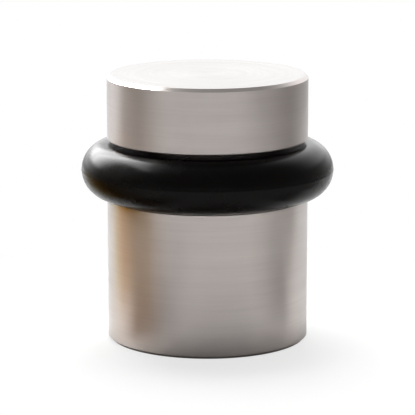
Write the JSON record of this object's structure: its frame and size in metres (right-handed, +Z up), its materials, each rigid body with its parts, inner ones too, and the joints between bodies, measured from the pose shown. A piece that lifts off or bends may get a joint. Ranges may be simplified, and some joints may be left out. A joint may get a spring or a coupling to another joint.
{
  "type": "floor door stop",
  "caption": "Cylindrical floor door stop: a turned satin steel base and cap with a rubber buffer ring held in the groove between them.",
  "frame": {"origin": "centre of the foot, on the floor", "axes": "+Z up along the axis of the body; X and Y are any two directions along the floor"},
  "size_m": [0.0478, 0.0478, 0.0505],
  "materials": {
    "satin_steel": "turned and brushed round the axis, satin",
    "black_rubber": "moulded, semi-gloss",
    "stud_steel": "plain stainless screw finish"
  },
  "bodies": {
    "root": {"base_body": "satin_steel", "buffer_ring": "black_rubber", "top_cap": "satin_steel", "joining_stud": "stud_steel"}
  },
  "joints": []
}
